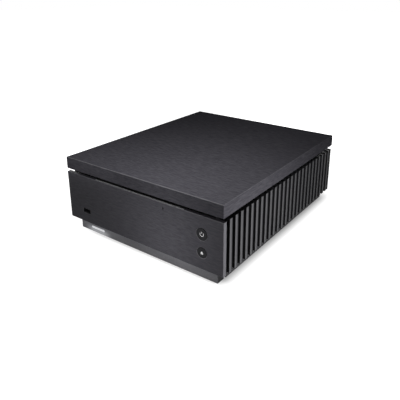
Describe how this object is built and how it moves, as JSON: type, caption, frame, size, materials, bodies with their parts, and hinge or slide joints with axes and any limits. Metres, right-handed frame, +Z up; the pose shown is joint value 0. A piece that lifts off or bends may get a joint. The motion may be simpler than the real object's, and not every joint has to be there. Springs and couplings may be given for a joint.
{
  "type": "music server",
  "caption": "Compact music server: thick floating lid over a disc slot, plain front with push buttons, finned sides, light bar below, disk caddy and sockets at the rear.",
  "frame": {"origin": "middle of the footprint on the surface that the server stands on", "axes": "+Z up, front panel faces -Y, +X to the right seen from the front"},
  "size_m": [0.245, 0.288, 0.101],
  "materials": {
    "anodised_plate": "brushed, dark grey anodised",
    "finned_aluminium": "satin, dark grey anodised",
    "black_metal": "fine matt black coat",
    "smoked_acrylic": "polished, cloudy grey",
    "lamp": "milky",
    "black_rubber": "matt",
    "grey_felt": "short nap",
    "screw_steel": "blackened",
    "button_metal": "fine turned, dark grey anodised",
    "plated_steel": "bright zinc",
    "black_plastic": "moulded, fine grain",
    "circuit_board": "solder mask",
    "chip_resin": "matt resin",
    "bare_aluminium": "as machined",
    "taped_core": "wound and taped",
    "capacitor_sleeve": "shrink sleeve",
    "brass_plate": "plated",
    "lead_sheath": "smooth"
  },
  "bodies": {
    "chassis": {"base_plate": "black_metal", "bay_connector": "black_plastic", "bay_rails": "plated_steel", "board_chips": "chip_resin", "board_screws": "screw_steel", "button_board": "circuit_board", "button_switches": "black_plastic", "case_screws": "screw_steel", "digital_socket": "brass_plate", "drive_bridge": "plated_steel", "drive_cover": "plated_steel", "drive_screws": "screw_steel", "drive_tray": "plated_steel", "front_panel": "anodised_plate", "front_usb_board": "circuit_board", "front_usb_shell": "plated_steel", "front_usb_tongue": "black_plastic", "heat_spreader": "bare_aluminium", "inlet_body": "black_plastic", "inlet_pins": "brass_plate", "left_heatsink": "finned_aluminium", "lid": "anodised_plate", "light_strip": "lamp", "main_board": "circuit_board", "mains_leads": "lead_sheath", "network_socket": "plated_steel", "panel_bars": "finned_aluminium", "plinth_bar": "smoked_acrylic", "plinth_pads": "black_rubber", "plinth_screws": "screw_steel", "power_board": "circuit_board", "power_capacitors": "capacitor_sleeve", "rear_feet": "black_rubber", "rear_panel": "black_metal", "rear_usb_shell": "plated_steel", "rear_usb_tongue": "black_plastic", "right_heatsink": "finned_aluminium", "signal_leads": "lead_sheath", "sled_motor": "plated_steel", "sled_rods": "plated_steel", "slot_felt": "grey_felt", "spindle_motor": "plated_steel", "status_light": "lamp", "switch_body": "black_plastic", "tie_bolts": "screw_steel", "top_collar": "black_metal", "transformer": "taped_core", "transformer_clamp": "plated_steel"},
    "standby": {"standby_button": "button_metal"},
    "eject": {"eject_button": "button_metal"},
    "rocker": {"power_rocker": "black_plastic"},
    "caddy": {"caddy_tray": "black_metal", "hard_disk": "bare_aluminium", "hard_disk_cover": "plated_steel", "caddy_screws": "screw_steel"},
    "handle": {"caddy_handle": "black_metal"},
    "spindle": {"turntable": "black_plastic"},
    "roller": {"loading_roller": "black_rubber"},
    "sled": {"pickup_sled": "black_plastic"},
    "screw": {"leadscrew": "plated_steel"}
  },
  "joints": [
    {"name": "standby_press", "type": "slide", "parent": "chassis", "child": "standby", "axis": [0, 1, 0], "range_m": [0, 0.0009], "stiffness_N_per_m": 600},
    {"name": "eject_press", "type": "slide", "parent": "chassis", "child": "eject", "axis": [0, 1, 0], "range_m": [0, 0.0009], "stiffness_N_per_m": 600},
    {"name": "power_switch", "type": "hinge", "parent": "chassis", "child": "rocker", "pos_m": [-0.066, 0.111, 0.064], "axis": [1, 0, 0], "range_deg": [0, 18]},
    {"name": "caddy_slide", "type": "slide", "parent": "chassis", "child": "caddy", "axis": [0, 1, 0], "range_m": [0, 0.12]},
    {"name": "handle_fold", "type": "hinge", "parent": "caddy", "child": "handle", "pos_m": [0.025, 0.1191, 0.065], "axis": [1, 0, 0], "range_deg": [0, 90]},
    {"name": "turntable_spin", "type": "hinge", "parent": "chassis", "child": "spindle", "pos_m": [0, -0.0665, 0.0813], "axis": [0, 0, 1], "continuous": true},
    {"name": "roller_spin", "type": "hinge", "parent": "chassis", "child": "roller", "pos_m": [0, -0.1295, 0.08], "axis": [1, 0, 0], "continuous": true},
    {"name": "leadscrew_turn", "type": "hinge", "parent": "chassis", "child": "screw", "pos_m": [0.034, -0.0425, 0.0798], "axis": [0, 1, 0], "range_deg": [0, 2881]},
    {"name": "sled_slide", "type": "slide", "parent": "chassis", "child": "sled", "axis": [0, 1, 0], "range_m": [0, 0.032]}
  ],
  "couplings": [
    {"joint": "leadscrew_turn", "follows": "sled_slide", "rad_per_m": 1570.8}
  ]
}
